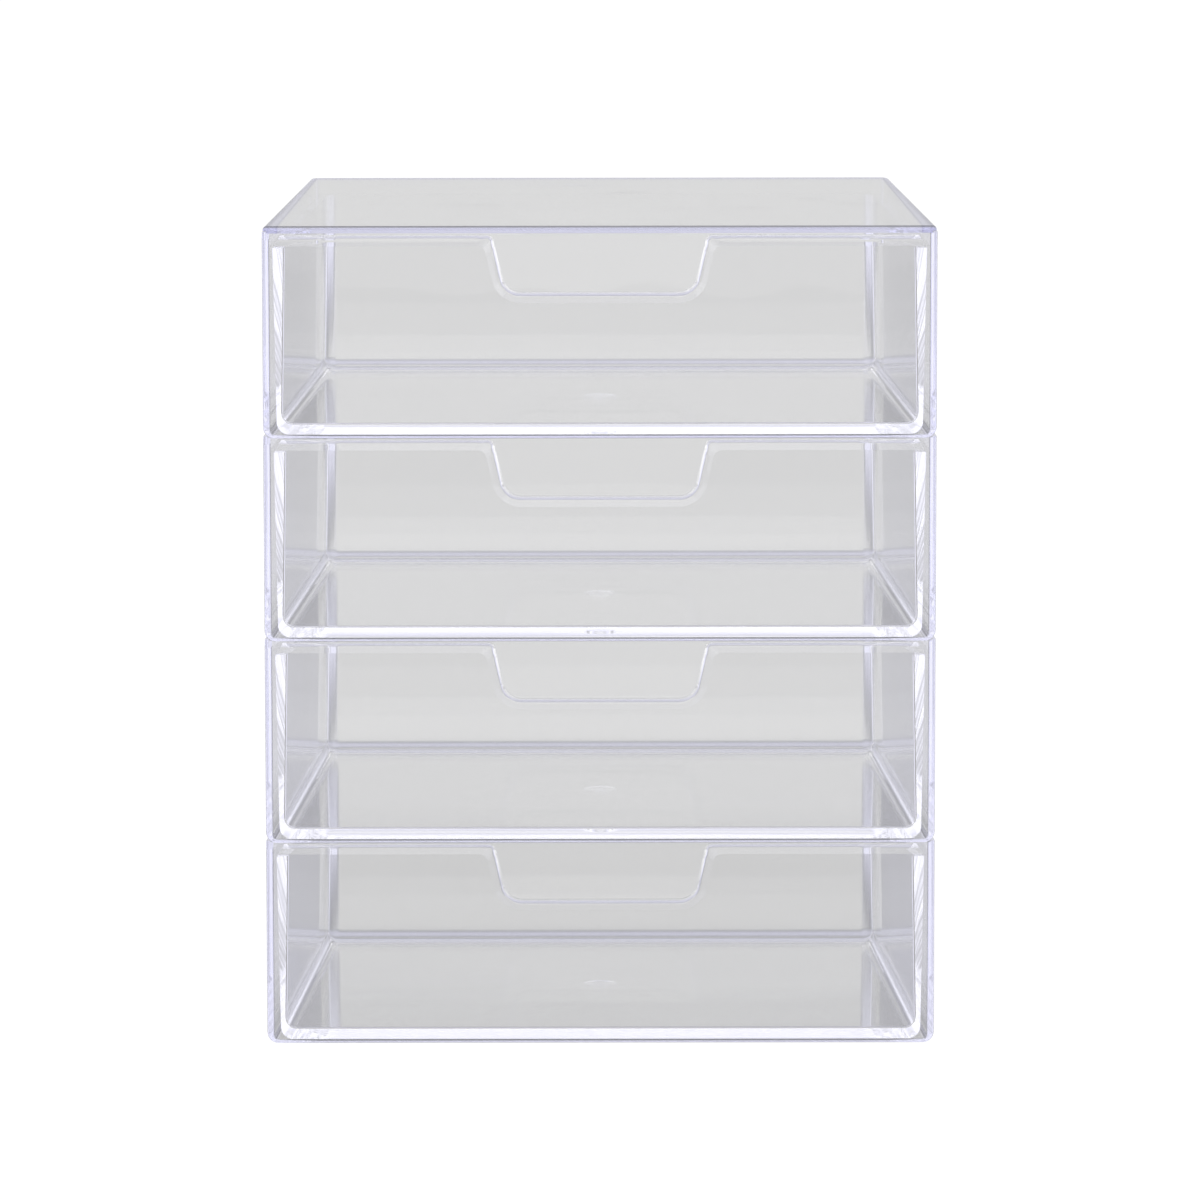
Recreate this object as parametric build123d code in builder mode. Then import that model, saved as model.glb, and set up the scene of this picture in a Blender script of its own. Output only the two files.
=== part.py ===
"""Clear four-tier drawer organizer: stacking tier frames, their drawers and a top cover."""

import os
from math import atan2, degrees, sqrt, tan, radians

from build123d import *

# Casing, in millimetres. The front faces -Y, +Z is up, and the sides draw in towards the back.
tier_count = 4
tier_pitch = 73.15
case_width_front = 240.0
case_width_back = 218.0
case_depth = 180.0
case_wall = 2.6
back_wall = 2.6
floor_thick = 1.3
base_edge_r = 4.0
case_inner_r = 1.5
case_front_round = 0.5

# Stacking lip: a low wall along the outside of each tier's top, which holds the tier or cover above.
lip_height = 0.7
lip_bevel = 1.05
lip_bevel_drop = 2.9
stack_gap = 0.3
seat_gap = 0.05

# Top cover: a plug inside the highest tier's lip, under a wider plate that reaches over the lip.
cover_thick = 2.5
cover_edge_in = 0.2
cover_edge_r = 1.5

# Drawer, and the room it has in its tier.
side_gap = 1.2
slide_gap = 0.2
head_gap = 0.5
drawer_back_gap = 2.0
drawer_wall = 3.4
drawer_floor = 3.2
panel_thick = 3.6
drawer_draft = 1.2
drawer_base_r = 4.5
drawer_inner_r = 4.2
panel_inner_r = 0.8
rim_drop = 4.8
rim_round = 0.7
panel_corner_in = 2.7

# Finger notch in the drawer's front panel.
notch_half_width = 37.9
notch_depth = 20.4
notch_slant_deg = 13.0
notch_bottom_r = 6.4
notch_mouth_r = 2.8
panel_edge_round = 1.7

# The panel thickens gently towards its top and the notch, on its inner face.
border_width = 4.4
border_rise = 0.65
border_step = 0.05
border_spare = 2.0

# Moulding gate under the drawer's floor: a round recess with a pip in its middle.
gate_recess_r = 6.0
gate_recess_depth = 0.5
gate_pip_r = 1.3
gate_pip_height = 0.3

# How far a cut runs past the face that it opens.
overrun = 5.0

front_y = -case_depth / 2
back_y = case_depth / 2
side_lean = (case_width_back - case_width_front) / 2 / case_depth

# The lip fills the hollow beside the rounded base above it, less the stacking gap.
base_inset_at_lip = base_edge_r - sqrt(base_edge_r**2 - (base_edge_r - lip_height) ** 2)
lip_thick = base_inset_at_lip - stack_gap

# A rounded base rests on the inner edge of the shoulder below it, so that edge stands a little high.
rest_rise = base_edge_r - sqrt(base_edge_r**2 - (base_edge_r - case_wall) ** 2)

drawer_inset = case_wall + side_gap
drawer_back_y = back_y - back_wall - drawer_back_gap
drawer_height = tier_pitch - floor_thick - slide_gap - head_gap
rim_height = drawer_height - rim_drop
draft_deg = degrees(atan2(drawer_draft, rim_height))

# The border's pad is made larger than the border, and the notch and the panel's top cut it back.
pad_rise = border_rise * (border_width + border_spare) / border_width


def half_width(y):
    """Half the casing's outside width at a place along its depth."""
    return case_width_front / 2 + side_lean * (y - front_y)


def plan_points(inset, y_front, y_back):
    """Corners of the casing's plan, drawn in at both sides and cut to a front and a back."""
    half_front = half_width(y_front) - inset
    half_back = half_width(y_back) - inset
    return [(-half_front, y_front), (half_front, y_front), (half_back, y_back), (-half_back, y_back)]


def rises(edge):
    """True for an edge that climbs most of a tier's height."""
    return edge.bounding_box().size.Z > tier_pitch / 2


def make_tier_frame(name, base_z):
    """One casing tier: floor, side walls and back wall, open at its front and top."""
    shoulder_z = base_z + tier_pitch + rest_rise - seat_gap
    with BuildPart() as frame:
        with BuildSketch(Plane.XY.offset(base_z)):
            with BuildLine():
                Polyline(plan_points(0, front_y, back_y), close=True)
            make_face()
        extrude(amount=tier_pitch + lip_height)

        with BuildSketch(Plane.XY.offset(base_z + floor_thick)):
            with BuildLine():
                Polyline(plan_points(case_wall, front_y - overrun, back_y - back_wall), close=True)
            make_face()
        extrude(amount=tier_pitch + lip_height, mode=Mode.SUBTRACT)

        # Inside corners, then the rounded base and back corners.
        inner_uprights = frame.edges().filter_by(Axis.Z).group_by(Axis.Y)[-2]
        floor_top = frame.faces().filter_by(Axis.Z).sort_by(Axis.Z)[1]
        fillet(inner_uprights + floor_top.edges().sort_by(Axis.Y)[1:], case_inner_r)
        outer_uprights = frame.edges().filter_by(Axis.Z).group_by(Axis.Y)[-1]
        underside = frame.faces().sort_by(Axis.Z)[0]
        fillet(outer_uprights + underside.edges().sort_by(Axis.Y)[1:], base_edge_r)
        lip_top = frame.faces().filter_by(Axis.Z).sort_by(Axis.Z)[-1]
        chamfer(lip_top.edges().sort_by(Axis.X)[0], lip_bevel, lip_bevel_drop, reference=lip_top)

        # The shoulder inside the lip, where the tier or cover above rests.
        with BuildSketch(Plane.XY.offset(shoulder_z)) as shoulder:
            with BuildLine():
                Polyline(plan_points(lip_thick, front_y - overrun, back_y - lip_thick), close=True)
            make_face()
            fillet(shoulder.vertices().group_by(Axis.Y)[-1], base_edge_r - lip_thick)
        extrude(amount=lip_height + overrun, mode=Mode.SUBTRACT)
        front_edges = frame.faces().sort_by(Axis.Y)[0].edges()
        fillet(front_edges.filter_by(rises), case_front_round)
    frame.part.label = name
    export_step(frame.part, f"parts/{name}.step")


def make_top_cover(name, base_z):
    """The flat cover: a plug a stacking gap inside the lip, and a plate with rounded edges over it."""
    plug_inset = lip_thick + stack_gap
    foot_z = base_z + rest_rise
    plate_z = base_z + lip_height + stack_gap
    with BuildPart() as cover:
        with BuildSketch(Plane.XY.offset(foot_z)) as plug:
            with BuildLine():
                Polyline(plan_points(plug_inset, front_y, back_y - plug_inset), close=True)
            make_face()
            fillet(plug.vertices().group_by(Axis.Y)[-1], base_edge_r - plug_inset)
        extrude(amount=cover_thick)
        with BuildSketch(Plane.XY.offset(plate_z)) as plate:
            with BuildLine():
                Polyline(plan_points(cover_edge_in, front_y, back_y - cover_edge_in), close=True)
            make_face()
            fillet(plate.vertices().group_by(Axis.Y)[-1], base_edge_r - cover_edge_in)
        extrude(amount=foot_z + cover_thick - plate_z)
        top_edges = cover.faces().sort_by(Axis.Z)[-1].edges()
        front_uprights = cover.edges().filter_by(Axis.Z).group_by(Axis.Z)[-1].sort_by(Axis.Y)[:2]
        fillet(front_uprights + top_edges, cover_edge_r)
    cover.part.label = name
    export_step(cover.part, f"parts/{name}.step")


def make_drawer(name, base_z):
    """One drawer: a tray with a taller front panel that has cut corners and a finger notch."""
    foot_z = base_z + floor_thick + slide_gap
    floor_z = foot_z + drawer_floor
    rim_z = foot_z + rim_height
    panel_top_z = foot_z + drawer_height
    panel_back_y = front_y + panel_thick
    panel_half = half_width(front_y) - drawer_inset
    notch_floor_half = notch_half_width - notch_depth * tan(radians(notch_slant_deg))
    notch_z = panel_top_z - notch_depth

    def behind_panel(face):
        return abs(face.center().Y - panel_back_y) < border_step and abs(face.normal_at().Y) > 1 - border_step

    def below_rim(edge):
        return (edge @ 0.5).Z < rim_z - rim_round

    with BuildPart() as drawer:
        with BuildSketch(Plane.XY.offset(foot_z)):
            with BuildLine():
                Polyline(plan_points(drawer_inset, front_y, drawer_back_y), close=True)
            make_face()
        extrude(amount=drawer_height)
        with BuildSketch(Plane.XY.offset(rim_z)):
            with BuildLine():
                Polyline(plan_points(drawer_inset - overrun, panel_back_y, back_y), close=True)
            make_face()
        extrude(amount=rim_drop + overrun, mode=Mode.SUBTRACT)
        with BuildSketch(Plane.XY.offset(floor_z)):
            with BuildLine():
                Polyline(
                    plan_points(drawer_inset + drawer_wall, panel_back_y, drawer_back_y - drawer_wall),
                    close=True,
                )
            make_face()
        extrude(amount=drawer_height, mode=Mode.SUBTRACT)

        # The side and back walls lean in towards the foot.
        walls = [f for f in drawer.faces() if abs(f.normal_at().X) > abs(f.normal_at().Z)]
        walls += drawer.faces().filter_by(Axis.Y).sort_by(Axis.Y)[-2:]
        draft(walls, Plane.XY.offset(rim_z), -draft_deg)

        # Rounded corners: inside the tray, then under it and up its back corners.
        uprights = drawer.edges().filter_by(rises).sort_by(Axis.Y)
        floor_top = drawer.faces().filter_by(Axis.Z).sort_by(Axis.Z)[1]
        fillet(uprights[-4:-2] + floor_top.edges().sort_by(Axis.Y)[1:], drawer_inner_r)
        panel_inside = drawer.faces().filter_by(behind_panel)[0]
        fillet(panel_inside.edges().filter_by(below_rim), panel_inner_r)
        outer_uprights = drawer.edges().filter_by(rises).sort_by(Axis.Y)[-2:]
        underside = drawer.faces().sort_by(Axis.Z)[0]
        fillet(outer_uprights + underside.edges().sort_by(Axis.Y)[1:], drawer_base_r)
        rim = drawer.faces().filter_by(Axis.Z).sort_by(Axis.Z)[-2]
        fillet(rim.edges().sort_by(Axis.X)[0], rim_round)

        # The thicker border along the panel's top and round the notch, sloped on its lower side.
        def border_outline(y, spread):
            lean = tan(radians(notch_slant_deg))
            floor_half = notch_floor_half + spread * tan(radians(45 - notch_slant_deg / 2))
            strip_half = floor_half + notch_depth * lean
            strip_z = panel_top_z - spread
            with BuildSketch(Plane.XZ.offset(-y)) as outline:
                with BuildLine():
                    Polyline(
                        (-panel_half, panel_top_z + overrun),
                        (-panel_half, strip_z),
                        (-strip_half, strip_z),
                        (-floor_half, notch_z - spread),
                        (floor_half, notch_z - spread),
                        (strip_half, strip_z),
                        (panel_half, strip_z),
                        (panel_half, panel_top_z + overrun),
                        close=True,
                    )
                make_face()
                inner = outline.vertices().filter_by(lambda v: abs(v.X) < panel_half - border_spare)
                fillet(inner.group_by(Axis.Y)[-1], notch_mouth_r + border_width - spread)
                fillet(outline.vertices().group_by(Axis.Y)[0], notch_bottom_r + spread)
            return outline.sketch.face()

        border_foot = border_outline(panel_back_y - border_step, border_width)
        border_crest = border_outline(panel_back_y + pad_rise, -border_spare)
        loft([border_foot, border_crest], ruled=True)

        # Cut top corners, the level top and the finger notch, through the front panel.
        with BuildSketch(Plane.XZ.offset(-front_y)) as openings:
            with BuildLine():
                Polyline(
                    (panel_half, rim_z),
                    (panel_half - panel_corner_in, panel_top_z),
                    (-panel_half + panel_corner_in, panel_top_z),
                    (-panel_half, rim_z),
                    (-panel_half - overrun, rim_z),
                    (-panel_half - overrun, panel_top_z + 2 * overrun),
                    (panel_half + overrun, panel_top_z + 2 * overrun),
                    (panel_half + overrun, rim_z),
                    close=True,
                )
            make_face()
            with BuildLine():
                Polyline(
                    (-notch_half_width, panel_top_z),
                    (-notch_floor_half, notch_z),
                    (notch_floor_half, notch_z),
                    (notch_half_width, panel_top_z),
                    close=True,
                )
            make_face()
            fillet(openings.vertices().group_by(Axis.Y)[0], notch_bottom_r)
        extrude(amount=-panel_thick - pad_rise, mode=Mode.SUBTRACT)
        mouth = drawer.edges().filter_by(Axis.Y).group_by(Axis.Z)[-1]
        fillet(mouth.sort_by(lambda e: abs(e.center().X))[:2], notch_mouth_r)

        # Softened edges along the panel's top and notch, front and back.
        def on_panel_top(edge):
            middle = edge @ 0.5
            in_notch = abs(middle.X) < notch_half_width + notch_mouth_r and middle.Z > notch_z - border_step
            on_top = abs(middle.X) < panel_half - panel_corner_in and middle.Z > panel_top_z - border_step
            in_front = middle.Y < front_y + border_step
            behind = panel_back_y + border_rise - 2 * border_step < middle.Y < panel_back_y + pad_rise
            return (in_notch or on_top) and (in_front or behind)

        fillet(drawer.edges().filter_by(on_panel_top), panel_edge_round)

        # Gate recess and pip under the floor.
        with BuildSketch(Plane.XY.offset(foot_z)):
            Circle(gate_recess_r)
        extrude(amount=gate_recess_depth, mode=Mode.SUBTRACT)
        with BuildSketch(Plane.XY.offset(foot_z + gate_recess_depth)):
            Circle(gate_pip_r)
        extrude(amount=-gate_pip_height)
    drawer.part.label = name
    export_step(drawer.part, f"parts/{name}.step")


os.makedirs("parts", exist_ok=True)
for tier in range(tier_count):
    make_tier_frame(f"tier_frame_{tier + 1}", tier * tier_pitch)
    make_drawer(f"drawer_{tier + 1}", tier * tier_pitch)
make_top_cover("top_cover", tier_count * tier_pitch)
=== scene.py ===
# %% [markdown]
# # A clear four-tier drawer organizer
#
# The real thing is a stack of moulded clear plastic: four open tiers, a drawer in each, and a
# flat cover on top. The CAD frame already holds every wall, rim and finger notch at its real
# size, so this lesson is about light. Clear plastic is seen only by what it bends, mirrors and
# tints, and a good studio is half of its finish. Lengths are in metres.

# %% Load the frame
import math

import bpy
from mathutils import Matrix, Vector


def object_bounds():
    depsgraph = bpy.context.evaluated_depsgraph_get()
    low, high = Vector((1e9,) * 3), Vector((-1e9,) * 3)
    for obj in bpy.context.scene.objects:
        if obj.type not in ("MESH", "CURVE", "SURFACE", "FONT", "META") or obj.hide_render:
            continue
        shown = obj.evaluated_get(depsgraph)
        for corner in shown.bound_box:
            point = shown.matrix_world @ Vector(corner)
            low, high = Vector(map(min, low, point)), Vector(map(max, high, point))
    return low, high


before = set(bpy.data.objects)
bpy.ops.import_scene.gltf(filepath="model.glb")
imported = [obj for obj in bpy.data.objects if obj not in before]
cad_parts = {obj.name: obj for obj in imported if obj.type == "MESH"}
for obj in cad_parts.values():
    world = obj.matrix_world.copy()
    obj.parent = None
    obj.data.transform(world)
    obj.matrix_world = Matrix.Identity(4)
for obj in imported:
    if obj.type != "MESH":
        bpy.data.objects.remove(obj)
cad_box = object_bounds()
low, high = cad_box
print("pieces from the frame:", sorted(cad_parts))
print("size in metres:", [round(high[i] - low[i], 4) for i in range(3)])

# %% [markdown]
# ## Joining shader nodes
#
# Every finish here is a small graph of nodes. Two helpers keep the graphs short: one joins two
# nodes by the names of their sockets, and one does a single sum on numbers or on other nodes.

# %% Helpers for node graphs
def link(tree, source, output, target, socket):
    """Join one node's output to another node's input."""
    tree.links.new(source.outputs[output], target.inputs[socket])


def number(tree, operation, first, second=0.0):
    """One sum on two numbers, each a node's output or a plain value."""
    node = tree.nodes.new("ShaderNodeMath")
    node.operation = operation
    for place, value in enumerate((first, second)):
        if isinstance(value, (int, float)):
            node.inputs[place].default_value = value
        else:
            tree.links.new(value, node.inputs[place])
    return node.outputs[0]


print("node helpers ready")

# %% [markdown]
# ## A change from one value to another
#
# The gloss of the plastic and the light of the studio both change gradually. Blender's Map Range
# node does that: below one limit it gives the first value, above the other limit the second, and
# between them it slides over, in a straight line or in a soft curve.

# %% Gradual changes
def gradual(tree, source, limits, values, curve="SMOOTHSTEP"):
    """Slide from one value to another while the source passes between two limits."""
    node = tree.nodes.new("ShaderNodeMapRange")
    node.interpolation_type = curve
    node.inputs["From Min"].default_value, node.inputs["From Max"].default_value = limits
    node.inputs["To Min"].default_value, node.inputs["To Max"].default_value = values
    tree.links.new(source, node.inputs["Value"])
    return node.outputs["Result"]


print("gradual changes ready")

# %% [markdown]
# ## Clear moulded plastic
#
# Organizers like this are moulded from polystyrene, which bends light more than window glass,
# so its edges look bright and busy. A Principled shader with full transmission does the bending.
# Moulded walls are never quite flat: a slow, faint ripple makes the lines behind them waver, and
# the gloss varies a little from spot to spot.

# %% The clear surface
plastic_ior = 1.59
haze_scale, haze_detail = 60.0, 4.0
haze_limits = (0.45, 0.75)
glossy_to_dull = (0.0, 0.02)


def clear_surface(name, tint, ripple_size, ripple_height):
    """A clear glossy skin with a faint ripple and an uneven gloss."""
    finish = bpy.data.materials.new(name)
    finish.use_nodes = True
    tree = finish.node_tree
    skin = tree.nodes["Principled BSDF"]
    skin.inputs["Base Color"].default_value = (tint, tint, tint, 1.0)
    skin.inputs["IOR"].default_value = plastic_ior
    skin.inputs["Transmission Weight"].default_value = 1.0

    place = tree.nodes.new("ShaderNodeTexCoord")
    ripple = tree.nodes.new("ShaderNodeTexNoise")
    ripple.inputs["Scale"].default_value = 1.0 / ripple_size
    ripple.inputs["Detail"].default_value = 1.0
    link(tree, place, "Object", ripple, "Vector")
    bump = tree.nodes.new("ShaderNodeBump")
    bump.inputs["Strength"].default_value = 1.0
    bump.inputs["Distance"].default_value = ripple_height
    link(tree, ripple, "Fac", bump, "Height")
    link(tree, bump, "Normal", skin, "Normal")

    haze = tree.nodes.new("ShaderNodeTexNoise")
    haze.inputs["Scale"].default_value = haze_scale
    haze.inputs["Detail"].default_value = haze_detail
    link(tree, place, "Object", haze, "Vector")
    dullness = gradual(tree, haze.outputs["Fac"], haze_limits, glossy_to_dull, "LINEAR")
    tree.links.new(dullness, skin.inputs["Roughness"])
    return finish


print("clear skin: index of refraction", plastic_ior)

# %% [markdown]
# ## Tint and trapped light inside the wall
#
# Face on, a wall is a few millimetres thick and looks colourless. Edge on, you look along ten or
# twenty centimetres of plastic, and a lilac cast shows. An absorption volume gives that cast. In
# the real room, light from everywhere gets caught between the two faces of a wall and leaves at
# its edges, which is why the edges look lit. A very weak glow inside the plastic stands for it.

# %% The inside of the plastic
cast_density = 6.0


def fill_inside(finish, cast, glow_tint, glow):
    """A tint that grows with depth, and the weak light that walls carry to their edges."""
    tree = finish.node_tree
    depth_tint = tree.nodes.new("ShaderNodeVolumeAbsorption")
    depth_tint.inputs["Color"].default_value = (*cast, 1.0)
    depth_tint.inputs["Density"].default_value = cast_density
    edge_light = tree.nodes.new("ShaderNodeEmission")
    edge_light.inputs["Color"].default_value = (*glow_tint, 1.0)
    edge_light.inputs["Strength"].default_value = glow
    inside = tree.nodes.new("ShaderNodeAddShader")
    link(tree, depth_tint, "Volume", inside, 0)
    link(tree, edge_light, "Emission", inside, 1)
    link(tree, inside, "Shader", tree.nodes["Material Output"], "Volume")


print("tint inside the plastic: density", cast_density)

# %% [markdown]
# ## Three batches of plastic
#
# The casing, the cover and the drawers come from different moulds. The drawers are a little
# less lilac than the casing, their ripple is slower and higher, and they carry more light to
# their edges. The cover is the casing's plastic with a weaker glow, because it is one thin plate.

# %% Mix the plastics and dress the pieces
casing_tint, casing_ripple_size, casing_ripple_height = 0.985, 0.05, 0.00003
casing_cast, casing_glow_tint = (0.5, 0.5, 0.62), (0.92, 0.92, 1.0)
casing_glow, cover_glow = 3.0, 2.6
drawer_tint, drawer_ripple_size, drawer_ripple_height = 0.98, 0.06, 0.00004
drawer_cast, drawer_glow_tint, drawer_glow = (0.52, 0.52, 0.58), (0.96, 0.96, 1.0), 3.7

casing_skin = (casing_tint, casing_ripple_size, casing_ripple_height)
casing_plastic = clear_surface("casing_plastic", *casing_skin)
fill_inside(casing_plastic, casing_cast, casing_glow_tint, casing_glow)
cover_plastic = clear_surface("cover_plastic", *casing_skin)
fill_inside(cover_plastic, casing_cast, casing_glow_tint, cover_glow)
drawer_plastic = clear_surface(
    "drawer_plastic", drawer_tint, drawer_ripple_size, drawer_ripple_height)
fill_inside(drawer_plastic, drawer_cast, drawer_glow_tint, drawer_glow)

for name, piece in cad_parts.items():
    piece.data.materials.clear()
    if name.startswith("drawer"):
        piece.data.materials.append(drawer_plastic)
    elif name == "top_cover":
        piece.data.materials.append(cover_plastic)
    else:
        piece.data.materials.append(casing_plastic)
print("dressed", len(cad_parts), "pieces")

# %% [markdown]
# ## The cover's thick margin
#
# Along its sides and back the cover lies on the tier's walls, so there you look down into a
# thick edge, and the photograph shows a lilac band that ends in a fine darker line. The band is
# wider at the front. It is drawn by the place on the cover: how far a point lies past a slanted
# line near each side, or past a line near the back, picks its tint from a ramp.

# %% Lines on the cover
# Painted shade: the cover's fine dark line and darker rim are shade painted into its colour, and its
# lilac band is a painted tint for the thick edge seen from above.
margin_front, margin_behind = 0.0053, 0.0028
margin_along_back = 0.007
back_rim_depth = 0.012

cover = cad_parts["top_cover"]
back_half = max(v.co.x for v in cover.data.vertices if v.co.y > high[1] - back_rim_depth)
slant = ((high[0] - margin_front) - (back_half - margin_behind)) / (high[1] - low[1])
line_half = high[0] - margin_front + slant * low[1]

tree = cover_plastic.node_tree
place = tree.nodes.new("ShaderNodeTexCoord")
axes = tree.nodes.new("ShaderNodeSeparateXYZ")
link(tree, place, "Object", axes, "Vector")
across = number(tree, "ABSOLUTE", axes.outputs["X"])
across = number(tree, "ADD", across, number(tree, "MULTIPLY", axes.outputs["Y"], slant))
past_side = number(tree, "SUBTRACT", across, line_half)
past_back = number(tree, "SUBTRACT", axes.outputs["Y"], high[1] - margin_along_back)
past_line = number(tree, "MAXIMUM", past_side, past_back)
print("cover margin: %.1f mm in front, %.1f mm behind" % (1000 * margin_front, 1000 * margin_behind))

# %% [markdown]
# ## Painted shade and tint of the margin
#
# A ramp turns the distance past the line into a painted tint. The line itself is in the middle of
# the
# ramp: clear plastic before it, then a painted dark line, a painted lilac band, and a darker painted
# rim. The dark line and the rim are painted shade. The band is a painted tint for the walls seen
# through the thick edge.

# %% Ramp of the painted margin
ramp_width, line_at = 0.006, 0.5
clear_until, band_from, band_until = 0.42, 0.58, 0.92
# Painted shade and tint: a dark line, a lilac band and a darker rim, painted into the cover's
# colour.
clear_shade, painted_dark_rim = (0.985, 0.985, 0.985), (0.62, 0.62, 0.8)
painted_dark_line, painted_lilac_band = (0.4, 0.4, 0.55), (0.8, 0.8, 0.96)

ramp = tree.nodes.new("ShaderNodeValToRGB")
along_ramp = number(tree, "ADD", number(tree, "DIVIDE", past_line, ramp_width), line_at)
tree.links.new(along_ramp, ramp.inputs["Fac"])
stops = ramp.color_ramp.elements
stops[0].position, stops[0].color = clear_until, (*clear_shade, 1.0)
stops[1].position, stops[1].color = 1.0, (*painted_dark_rim, 1.0)
for spot, tint in ((line_at, painted_dark_line), (band_from, painted_lilac_band), (band_until, painted_lilac_band)):
    stops.new(spot).color = (*tint, 1.0)
link(tree, ramp, "Color", tree.nodes["Principled BSDF"], "Base Color")
print("margin ramp with", len(stops), "stops")

# %% [markdown]
# ## A studio for clear things
#
# The photograph has a white ground with no shadow, yet the panels read grey and every rounded
# edge is drawn as a lilac band between fine dark lines. Photographers get that with a grey
# backdrop, a dim gap round it, and bright lamps beyond the gap. A flat wall passes the backdrop
# straight through. A rounded edge bends the view further out: first into the gap, which draws
# the dark line, then into the lamps, which fill the band.
#
# The same recipe serves the room and the floor. It takes a direction and works out how far that
# is from straight back, counting height for less than width. Towards the far sides the room is
# dark again, which draws the outermost line of each upright. Steeply below there are no side
# lamps, so that from a higher stand, on any side, the walls pass a plain grey sheet. What the
# camera sees directly is plain white.

# %% Brightness of the studio
height_share = 0.7
plain_white = 1.06
front_to_back = (-0.5, 0.4)
into_gap, out_of_gap = (0.14, 0.20), (0.20, 0.29)
gap_fall, lamp_boost = 0.22, 0.05
towards_top, top_boost = (0.45, 0.7), 0.35
towards_sides, side_boost = (0.2, 0.32), 0.35
towards_far_sides, side_fall = (0.72, 0.94), 1.1
steep_to_level = (-0.32, -0.21)


def studio_brightness(tree, axes, sideways, away, levels, dim):
    """Brightness by direction: a backdrop, a dim gap round it, then lamps."""
    height = axes.outputs["Z"]
    sides = number(tree, "ADD", gradual(tree, sideways, towards_sides, (0.0, side_boost)),
                   gradual(tree, sideways, towards_far_sides, (0.0, -side_fall)))
    room = gradual(tree, axes.outputs["Y"], front_to_back, levels)
    for change in (
        gradual(tree, away, into_gap, (0.0, -gap_fall)),
        gradual(tree, away, out_of_gap, (0.0, gap_fall + lamp_boost)),
        gradual(tree, height, towards_top, (0.0, top_boost)),
        number(tree, "MULTIPLY", sides, gradual(tree, height, steep_to_level, (0.0, 1.0))),
        dim,
    ):
        room = number(tree, "ADD", room, change)
    return room


print("studio brightness ready: gap darker by", gap_fall)

# %% [markdown]
# ## Tint of the lamps
#
# The lamps next to the gap are a little lilac, and the ones further out are plain. The tint is
# kept from what the camera sees directly, so the ground stays white.

# %% Brightness and tint together
lamp_tint = (0.84, 0.84, 1.0)
into_tint, out_of_tint = (0.14, 0.26), (0.36, 0.58)


def studio_light(tree, direction, levels, dim=0.0):
    """Brightness and tint of the studio towards a direction; plain white for the camera."""
    seen = tree.nodes.new("ShaderNodeLightPath").outputs["Is Camera Ray"]
    axes = tree.nodes.new("ShaderNodeSeparateXYZ")
    tree.links.new(direction, axes.inputs["Vector"])
    sideways = number(tree, "ABSOLUTE", axes.outputs["X"])
    upward = number(tree, "MULTIPLY", axes.outputs["Z"], height_share)
    squares = number(tree, "ADD", number(tree, "MULTIPLY", sideways, sideways),
                     number(tree, "MULTIPLY", upward, upward))
    away = number(tree, "SQRT", squares)
    room = studio_brightness(tree, axes, sideways, away, levels, dim)
    room = number(tree, "MAXIMUM", room, number(tree, "MULTIPLY", seen, plain_white))

    amount = number(tree, "MULTIPLY", gradual(tree, away, into_tint, (0.0, 1.0)),
                    gradual(tree, away, out_of_tint, (1.0, 0.0)))
    amount = number(tree, "MULTIPLY", amount, number(tree, "SUBTRACT", 1.0, seen))
    tint = tree.nodes.new("ShaderNodeMix")
    tint.data_type = "RGBA"
    tree.links.new(amount, tint.inputs[0])
    plain, lilac = [socket for socket in tint.inputs if socket.type == "RGBA"]
    plain.default_value = (1.0, 1.0, 1.0, 1.0)
    lilac.default_value = (*lamp_tint, 1.0)
    shade = next(socket for socket in tint.outputs if socket.type == "RGBA")
    return room, shade


print("studio recipe ready: lamps tinted", lamp_tint)

# %% [markdown]
# ## Floor
#
# A plain pale sheet. To the camera it is the white ground of the photograph. Light that has
# passed through plastic sees it as part of the studio, a little dimmer near the organizer, as a
# real sheet is under a stack of drawers.

# %% Floor sheet
floor_gap = 0.0004
floor_size, floor_centre_back = 24.0, 4.0
bpy.ops.mesh.primitive_plane_add(
    size=floor_size, location=(0.0, floor_centre_back, low[2] - floor_gap))
floor = bpy.context.object
floor.name = "floor"
print("floor sheet under the organizer")

# %% [markdown]
# ## Light from the floor
#
# Nearly all of the floor's light is its own glow, worked out for the direction in which a ray
# arrives. A small share of plain matt white under it takes the light of the room.

# %% Finish of the floor
floor_levels = (0.45, 0.74)
shade_under, shade_reach = 0.1, (0.1, 0.9)
matt_white, glow_share = 0.86, 0.96

floor_finish = bpy.data.materials.new("white_sheet")
floor_finish.use_nodes = True
tree = floor_finish.node_tree
sheet = tree.nodes["Principled BSDF"]
sheet.inputs["Base Color"].default_value = (matt_white, matt_white, matt_white, 1.0)
sheet.inputs["Roughness"].default_value = 1.0
sheet.inputs["Specular IOR Level"].default_value = 0.0

point = tree.nodes.new("ShaderNodeNewGeometry")
reach = tree.nodes.new("ShaderNodeVectorMath")
reach.operation = "LENGTH"
link(tree, point, "Position", reach, 0)
heading = tree.nodes.new("ShaderNodeVectorMath")
heading.operation = "SCALE"
heading.inputs["Scale"].default_value = -1.0
link(tree, point, "Incoming", heading, 0)
dimmer = gradual(tree, reach.outputs["Value"], shade_reach, (-shade_under, 0.0))
lit, shade = studio_light(tree, heading.outputs["Vector"], floor_levels, dimmer)

glow = tree.nodes.new("ShaderNodeEmission")
tree.links.new(lit, glow.inputs["Strength"])
tree.links.new(shade, glow.inputs["Color"])
mix = tree.nodes.new("ShaderNodeMixShader")
mix.inputs["Fac"].default_value = glow_share
link(tree, sheet, "BSDF", mix, 1)
link(tree, glow, "Emission", mix, 2)
link(tree, mix, "Shader", tree.nodes["Material Output"], "Surface")
floor.data.materials.append(floor_finish)
print("floor levels in front and behind:", floor_levels)

# %% [markdown]
# ## Studio room
#
# The room above the floor follows the same recipe, with a brighter camera side, because a
# photographer's own lamps stand there.

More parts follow.
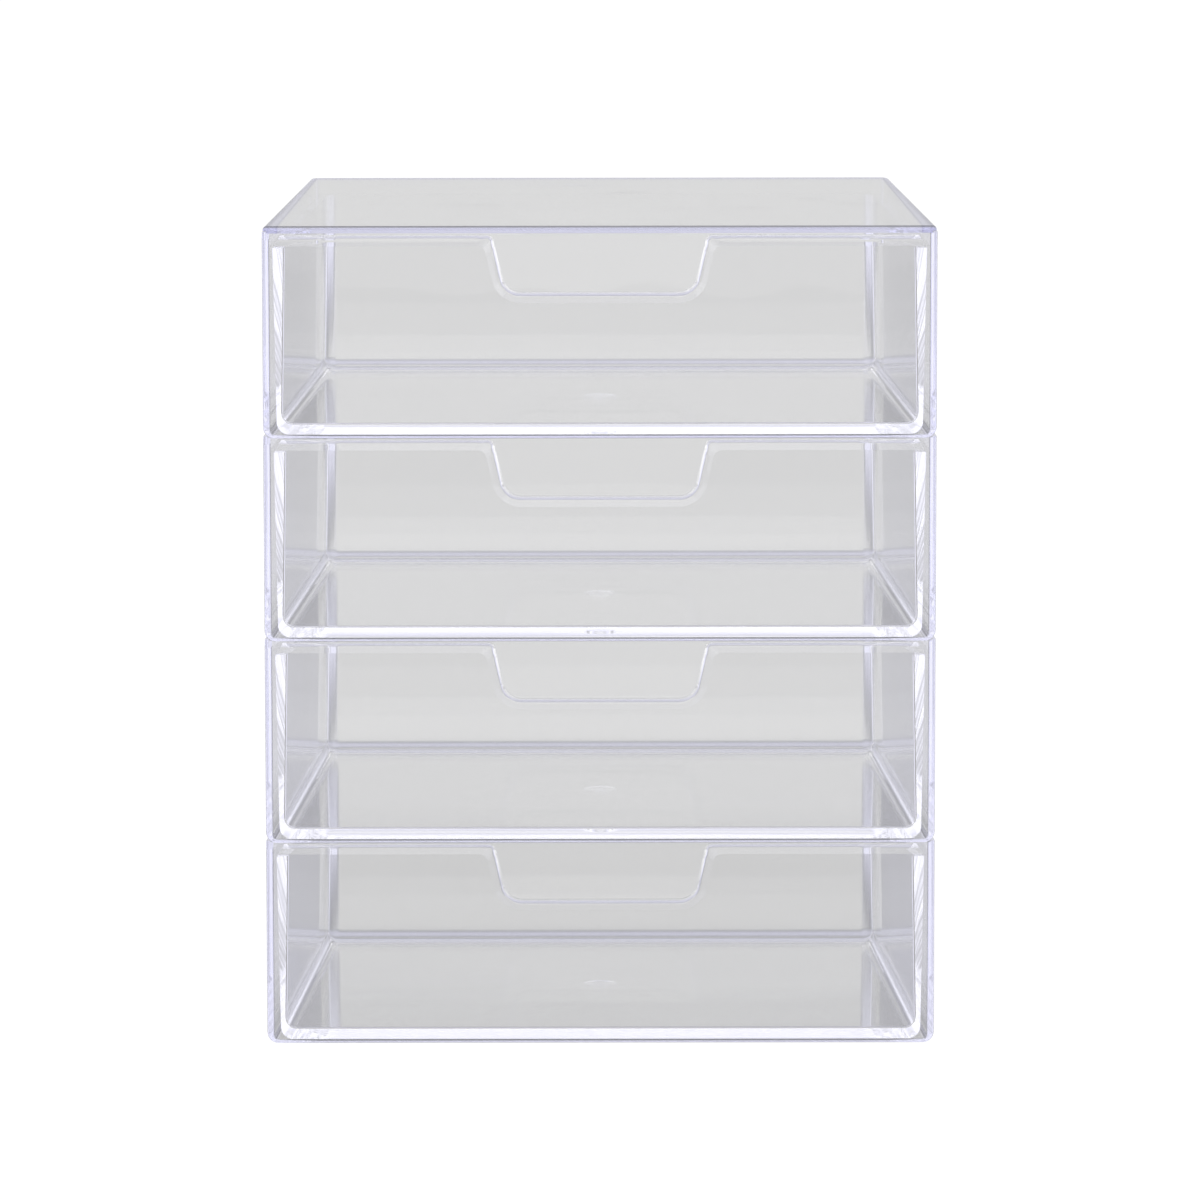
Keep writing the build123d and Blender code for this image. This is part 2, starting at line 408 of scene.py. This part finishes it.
# %% Studio room
room_levels = (1.1, 0.7)
world = bpy.data.worlds.new("studio")
bpy.context.scene.world = world
world.use_nodes = True
tree = world.node_tree
ground = tree.nodes["Background"]
place = tree.nodes.new("ShaderNodeTexCoord")
room, shade = studio_light(tree, place.outputs["Generated"], room_levels)
tree.links.new(room, ground.inputs["Strength"])
tree.links.new(shade, ground.inputs["Color"])
print("room levels in front and behind:", room_levels)

# %% [markdown]
# ## Camera
#
# The camera stands well back and a little above, and looks down by less than nine degrees. Its
# place was worked out from lines measured in the photograph: the casing's sides, the tier
# joints, and the back edges of the cover and of the drawer floors. A camera with no turn looks
# straight down in Blender, so a level view is a turn of ninety degrees.

# %% Camera
camera_back = 2.876
camera_height = 0.591
camera_side = 0.0005
camera_pitch_deg = 8.499
camera_roll_deg = 0.07
level_deg = 90.0
lens_mm = 244.2
sensor_mm = 36.0
view_reach = 60.0

camera_data = bpy.data.cameras.new("camera")
camera_data.sensor_width = sensor_mm
camera_data.lens = lens_mm
camera_data.clip_end = view_reach
camera = bpy.data.objects.new("camera", camera_data)
bpy.context.scene.collection.objects.link(camera)
camera.location = (camera_side, low[1] - camera_back, low[2] + camera_height)
camera_tilt = math.radians(level_deg - camera_pitch_deg)
camera.rotation_euler = (camera_tilt, math.radians(camera_roll_deg), 0.0)
bpy.context.scene.camera = camera
print("camera %.2f m in front, looking down %.1f degrees" % (camera_back, camera_pitch_deg))

# %% [markdown]
# ## Long light paths
#
# From front to back a ray crosses more than a dozen clear faces, and it may turn back inside a
# wall many times. With too few bounces those rays end black, so the limits are raised. The plain
# Standard view keeps the photograph's white ground white.

# %% Light paths
clear_bounces, other_bounces = 40, 24
scene = bpy.context.scene
scene.view_settings.view_transform = "Standard"
scene.cycles.max_bounces = clear_bounces
scene.cycles.transmission_bounces = clear_bounces
scene.cycles.glossy_bounces = other_bounces
scene.cycles.transparent_max_bounces = other_bounces
scene.cycles.caustics_reflective = True
scene.cycles.caustics_refractive = True
print("bounces:", scene.cycles.max_bounces)
